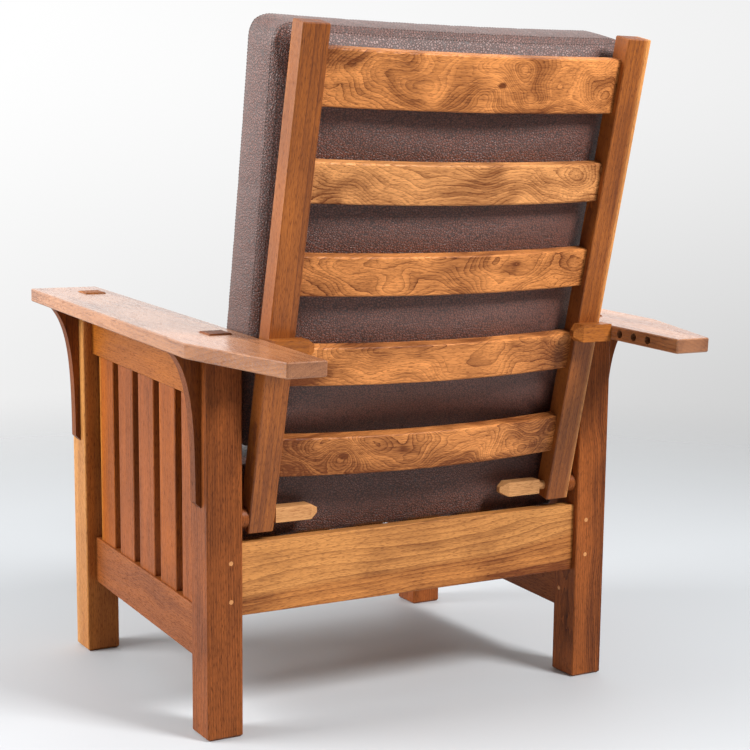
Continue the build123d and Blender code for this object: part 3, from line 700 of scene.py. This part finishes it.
def against_slats(spot):
    """How far back the cushion may reach: to the bowed slats, and a little further between two."""
    off_centre = min(1.0, abs(spot.x) / STILE_INNER)
    rear = SLAT_FRONT - SLAT_BOW * (1 - off_centre ** 2) + CLEARANCE - REAR_SEAM
    height = spot.y + BACK_BOTTOM + BACK["length"] / 2
    clear = min(abs(height - middle) for middle in slat_middles) - HALF_SLAT
    swell = SLAT_SWELL * max(0.0, min(1.0, clear / SWELL_RISE)) * (1 - off_centre ** 4)
    return rear - swell


place = Matrix((Vector((1, 0, 0)), up, toward_sitter)).transposed().to_4x4()
place.translation = foot + up * (BACK_BOTTOM + BACK["length"] / 2) + toward_sitter * REAR_SEAM
cushion("back_cushion", BACK, place, against_slats)

# Studio. A pale floor that fades into a plain backdrop, brightest at the upper left. The backdrop
# is also what the polished arms and the leather mirror; behind the camera the room is dim.
CAMERA_PLACE = (1.23923, 2.17384, 0.81064)
CAMERA_HEADING = 3.6404
TO_BACKDROP = (math.sin(CAMERA_HEADING), math.cos(CAMERA_HEADING), 0)
TO_RIGHT = (math.cos(CAMERA_HEADING), -math.sin(CAMERA_HEADING), 0)
FLOOR_GREY = (0.53, 0.55, 0.57, 1)
FLOOR_RADIUS = 12.0
FADES_FROM = 1.0
FADES_TO = 3.4
CHAIR_MIDDLE = (0, 0, 0.5)
bm = bmesh.new()
bmesh.ops.create_circle(bm, cap_ends=True, radius=FLOOR_RADIUS, segments=64)
floor = piece_of(bm, "floor")
material, tree, shader = colour("floor")
where = node(tree, "TexCoord").outputs["Object"]
away = node(tree, "VectorMath", {0: where}, operation="LENGTH").outputs[1]
shader.inputs["Base Color"].default_value = FLOOR_GREY
shader.inputs["Roughness"].default_value = 0.7
clear = node(tree, "BsdfTransparent")
faded = ranged(tree, away, FADES_FROM, FADES_TO)
sheet = node(tree, "MixShader", {0: faded, 1: shader.outputs[0], 2: clear.outputs[0]})
tree.links.new(sheet.outputs[0], tree.nodes["Material Output"].inputs["Surface"])
floor.data.materials.append(material)

world = bpy.data.worlds.new("studio")
bpy.context.scene.world = world
world.use_nodes = True
tree = world.node_tree
heading = node(tree, "TexCoord").outputs["Generated"]
rise = node(tree, "SeparateXYZ", {0: heading}).outputs[2]
to_right = node(tree, "VectorMath", {0: heading, 1: TO_RIGHT}, operation="DOT_PRODUCT").outputs[1]
ahead = node(tree, "VectorMath", {0: heading, 1: TO_BACKDROP}, operation="DOT_PRODUCT").outputs[1]
fall = ranged(tree, rise, -0.25, 0.05, -0.55, -0.28)
backdrop = sums(tree, "MULTIPLY_ADD", to_right, fall, ranged(tree, rise, -0.19, 0.08, 0.75, 0.95))
backdrop = sums(tree, "MAXIMUM", sums(tree, "MINIMUM", backdrop, 1.0), 0.6)
ray = node(tree, "LightPath").outputs
plain = sums(tree, "MAXIMUM", ray["Is Camera Ray"], ray["Is Transmission Ray"])
mirrored = sums(tree, "MULTIPLY", backdrop, ranged(tree, ahead, -0.3, 0.5, 0.08, 1.6))
mirrored = sums(tree, "MULTIPLY", mirrored, ranged(tree, rise, -0.25, 0.02, 0.2, 1.0))
lit = sums(tree, "MULTIPLY", backdrop, ranged(tree, ahead, -0.6, 0.6, 0.33, 0.85))
strength = node(tree, "Mix", {0: ray["Is Glossy Ray"], 2: lit, 3: mirrored}).outputs[0]
strength = node(tree, "Mix", {0: plain, 2: strength, 3: backdrop}).outputs[0]
tree.nodes["Background"].inputs["Color"].default_value = (1, 1, 1, 1)
tree.links.new(strength, tree.nodes["Background"].inputs["Strength"])


def softbox(name, place, aim, size, power):
    """A square lamp facing a point."""
    lamp = bpy.data.lights.new(name, "AREA")
    lamp.shape = "RECTANGLE"
    lamp.size, lamp.size_y = size
    lamp.energy = power
    made = bpy.data.objects.new(name, lamp)
    made.location = place
    made.rotation_euler = (Vector(aim) - Vector(place)).to_track_quat("-Z", "Y").to_euler()
    bpy.context.scene.collection.objects.link(made)


softbox("left_lamp", (3.0, -1.0, 1.9), CHAIR_MIDDLE, (1.8, 1.8), 135)
softbox("rear_lamp", (-1.3, 2.6, 2.9), CHAIR_MIDDLE, (1.0, 1.0), 165)

CAMERA_DIP = 0.1613
CAMERA_ROLL = 0.0058
FOCAL_PIXELS = 1607.07
AXIS_PIXEL = (329.56, 425.59)
IMAGE_PIXELS = 750
SENSOR_WIDTH = 36
camera = bpy.data.objects.new("camera", bpy.data.cameras.new("camera"))
camera.data.sensor_width = SENSOR_WIDTH
camera.data.lens = FOCAL_PIXELS / IMAGE_PIXELS * SENSOR_WIDTH
camera.data.shift_x = 0.5 - AXIS_PIXEL[0] / IMAGE_PIXELS
camera.data.shift_y = AXIS_PIXEL[1] / IMAGE_PIXELS - 0.5
turned = Matrix.Rotation(-CAMERA_HEADING, 4, "Z")
dip = Matrix.Rotation(math.pi / 2 - CAMERA_DIP, 4, "X")
roll = Matrix.Rotation(CAMERA_ROLL, 4, "Z")
camera.matrix_world = Matrix.Translation(CAMERA_PLACE) @ turned @ dip @ roll
bpy.context.scene.collection.objects.link(camera)
bpy.context.scene.camera = camera
bpy.context.scene.view_settings.view_transform = "Standard"
